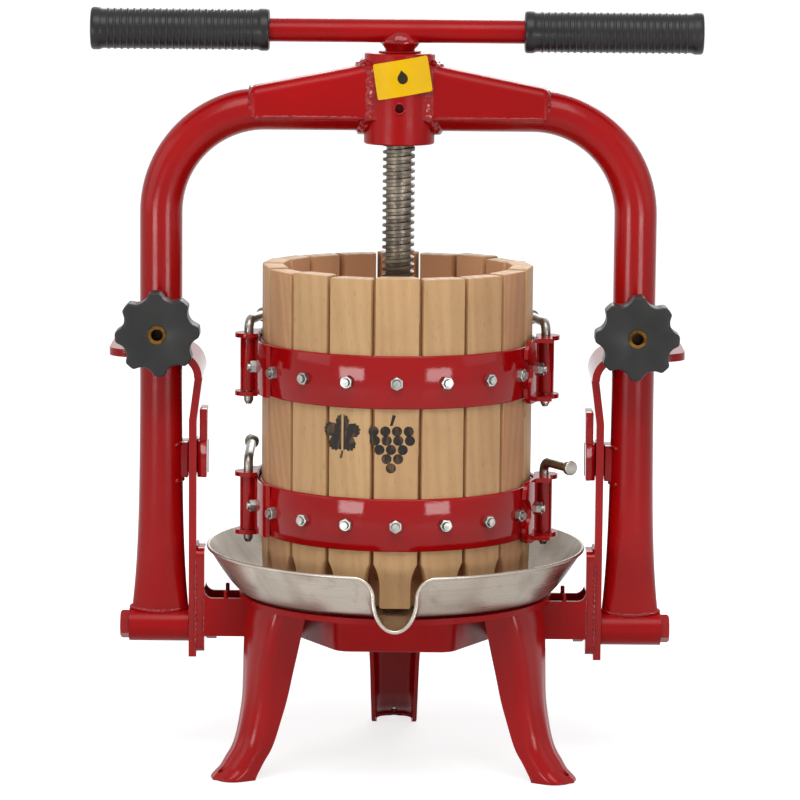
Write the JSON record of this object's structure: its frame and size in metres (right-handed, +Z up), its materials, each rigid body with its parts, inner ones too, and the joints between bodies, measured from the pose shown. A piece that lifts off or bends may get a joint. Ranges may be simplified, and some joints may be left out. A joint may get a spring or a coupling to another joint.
{
  "type": "basket fruit press",
  "caption": "Free-standing screw press with a slatted wooden basket, a spouted juice tray, three curved legs and a tilting tube arch that carries the hand-turned screw.",
  "frame": {"origin": "on the floor, on the screw's axis, between the three legs", "axes": "+Z up along the screw, -Y to the front where the spout is, +X to the right seen from the front"},
  "size_m": [0.415, 0.2696, 0.5187],
  "materials": {
    "red_enamel": "gloss",
    "beech": "planed",
    "stainless_sheet": "brushed",
    "zinc_plate": "bright zinc",
    "pin_steel": "dull zinc",
    "screw_steel": "oiled",
    "knob_plastic": "moulded",
    "grip_rubber": "ribbed",
    "insert_brass": "turned"
  },
  "bodies": {
    "stand": {"base_apron": "red_enamel", "base_ring": "red_enamel", "front_hoop_bolts": "zinc_plate", "front_hoop_nuts": "zinc_plate", "front_left_leg": "red_enamel", "front_lower_hoop": "red_enamel", "front_right_leg": "red_enamel", "front_staves": "beech", "front_upper_hoop": "red_enamel", "juice_tray": "stainless_sheet", "left_arm": "red_enamel", "left_hinge_brackets": "red_enamel", "left_hinge_knuckles": "red_enamel", "left_inner_plate": "red_enamel", "left_lock_strap": "red_enamel", "lock_lugs": "red_enamel", "pivot_bolts": "red_enamel", "pivot_nuts": "red_enamel", "rear_hoop_bolts": "zinc_plate", "rear_hoop_nuts": "zinc_plate", "rear_leg": "red_enamel", "rear_lower_hoop": "red_enamel", "rear_staves": "beech", "rear_upper_hoop": "red_enamel", "right_arm": "red_enamel", "right_hinge_brackets": "red_enamel", "right_hinge_knuckles": "red_enamel", "right_inner_plate": "red_enamel", "right_lock_strap": "red_enamel", "tray_locating_pins": "zinc_plate"},
    "arch": {"left_arch_tube": "red_enamel", "right_arch_tube": "red_enamel", "screw_hub": "red_enamel", "left_arch_gusset": "red_enamel", "right_arch_gusset": "red_enamel", "left_pivot_sleeve": "red_enamel", "right_pivot_sleeve": "red_enamel", "left_guide_fork": "red_enamel", "right_guide_fork": "red_enamel"},
    "thrust_foot": {"thrust_foot": "screw_steel"},
    "screw": {"press_screw": "screw_steel", "thrust_washer": "red_enamel", "handle_boss": "red_enamel", "handle_bar": "red_enamel", "left_grip": "grip_rubber", "right_grip": "grip_rubber"},
    "press_disc": {"press_disc": "beech"},
    "left_lock_tip": {"left_lock_tip": "zinc_plate"},
    "left_knob": {"left_star_knob": "knob_plastic", "left_knob_insert": "insert_brass", "left_knob_stud": "zinc_plate"},
    "left_upper_pin": {"left_upper_hinge_pin": "pin_steel"},
    "left_lower_pin": {"left_lower_hinge_pin": "pin_steel"},
    "right_lock_tip": {"right_lock_tip": "zinc_plate"},
    "right_knob": {"right_star_knob": "knob_plastic", "right_knob_insert": "insert_brass", "right_knob_stud": "zinc_plate"},
    "right_upper_pin": {"right_upper_hinge_pin": "pin_steel"},
    "right_lower_pin": {"right_lower_hinge_pin": "pin_steel"}
  },
  "joints": [
    {"name": "arch_tilt", "type": "hinge", "parent": "stand", "child": "arch", "pos_m": [0, 0, 0.0935], "axis": [-1, 0, 0], "range_deg": [0, 14]},
    {"name": "foot_rise", "type": "slide", "parent": "arch", "child": "thrust_foot", "axis": [0, 0, 1], "range_m": [0, 0.24]},
    {"name": "screw_turn", "type": "hinge", "parent": "thrust_foot", "child": "screw", "pos_m": [0, 0, 0.3], "axis": [0, 0, 1], "range_deg": [0, 17280]},
    {"name": "disc_lift", "type": "slide", "parent": "stand", "child": "press_disc", "axis": [0, 0, 1], "range_m": [0, 0.008]},
    {"name": "left_tip_slide", "type": "slide", "parent": "stand", "child": "left_lock_tip", "axis": [0, 1, 0], "range_m": [-0.005, 0.005]},
    {"name": "left_knob_turn", "type": "hinge", "parent": "left_lock_tip", "child": "left_knob", "pos_m": [-0.16183, -0.03, 0.301], "axis": [0, 1, 0], "range_deg": [-1440, 1440]},
    {"name": "left_upper_pin_lift", "type": "slide", "parent": "stand", "child": "left_upper_pin", "axis": [0, 0, 1], "range_m": [0, 0.065]},
    {"name": "left_lower_pin_lift", "type": "slide", "parent": "stand", "child": "left_lower_pin", "axis": [0, 0, 1], "range_m": [0, 0.016]},
    {"name": "right_tip_slide", "type": "slide", "parent": "stand", "child": "right_lock_tip", "axis": [0, 1, 0], "range_m": [-0.005, 0.005]},
    {"name": "right_knob_turn", "type": "hinge", "parent": "right_lock_tip", "child": "right_knob", "pos_m": [0.16183, -0.03, 0.301], "axis": [0, 1, 0], "range_deg": [-1440, 1440]},
    {"name": "right_upper_pin_lift", "type": "slide", "parent": "stand", "child": "right_upper_pin", "axis": [0, 0, 1], "range_m": [0, 0.065]},
    {"name": "right_lower_pin_lift", "type": "slide", "parent": "stand", "child": "right_lower_pin", "axis": [0, 0, 1], "range_m": [0, 0.016]}
  ],
  "couplings": [
    {"joint": "foot_rise", "follows": "screw_turn", "m_per_rad": 0.00079577},
    {"joint": "left_tip_slide", "follows": "left_knob_turn", "m_per_rad": 0.00019894},
    {"joint": "right_tip_slide", "follows": "right_knob_turn", "m_per_rad": 0.00019894}
  ]
}
